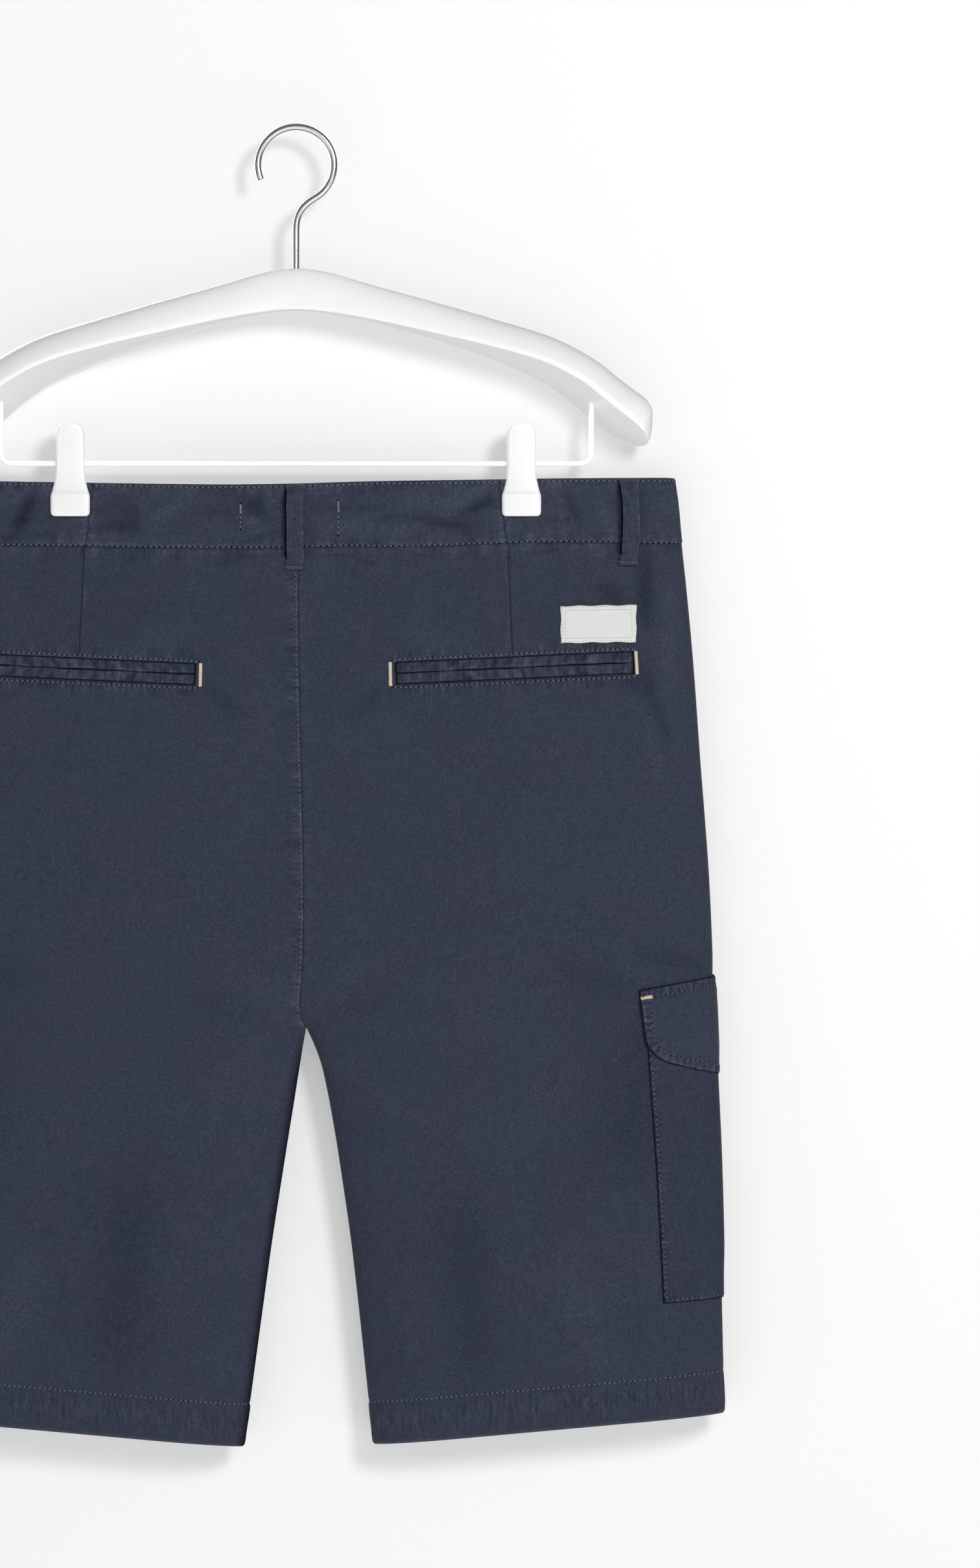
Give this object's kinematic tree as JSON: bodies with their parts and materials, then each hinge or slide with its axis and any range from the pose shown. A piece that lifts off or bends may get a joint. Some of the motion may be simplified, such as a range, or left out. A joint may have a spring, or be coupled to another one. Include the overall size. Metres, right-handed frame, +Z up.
{
  "type": "cargo shorts on a clip hanger",
  "caption": "Knee-length cargo shorts in woven cotton, with belt loops, welt hip pockets and flapped leg pockets, hanging flat by the waistband from a hanger with clips.",
  "frame": {"origin": "the underside of the hanger hook's crown, where the hook rests on a rail", "axes": "+Z up; -Y towards the back of the shorts; +X towards the wearer's right"},
  "size_m": [0.4904, 0.0378, 0.7569],
  "materials": {
    "twill": "matt navy cotton twill",
    "twill_trim": "matt navy cotton twill",
    "label": "pale woven label",
    "button": "dark, slightly glossy",
    "white_plastic": "satin white",
    "white_wire": "white coated wire",
    "hook_steel": "bright wire"
  },
  "bodies": {
    "root": {"back_left": "twill", "back_right": "twill", "belt_loop_back_left": "twill_trim", "belt_loop_back_right": "twill_trim", "belt_loop_front_left": "twill_trim", "belt_loop_front_right": "twill_trim", "belt_loop_middle": "twill_trim", "cargo_flap_left": "twill_trim", "cargo_flap_right": "twill_trim", "cargo_pocket_left": "twill", "cargo_pocket_right": "twill", "clip_left_back_jaw": "white_plastic", "clip_left_front_jaw": "white_plastic", "clip_right_back_jaw": "white_plastic", "clip_right_front_jaw": "white_plastic", "front_left": "twill", "front_right": "twill", "hanger_body": "white_plastic", "hook": "hook_steel", "label": "label", "trouser_bar": "white_wire", "waist_button": "button", "waistband_back": "twill", "waistband_left": "twill", "waistband_right": "twill", "welt_lower_left": "twill_trim", "welt_lower_right": "twill_trim", "welt_upper_left": "twill_trim", "welt_upper_right": "twill_trim"}
  },
  "joints": []
}
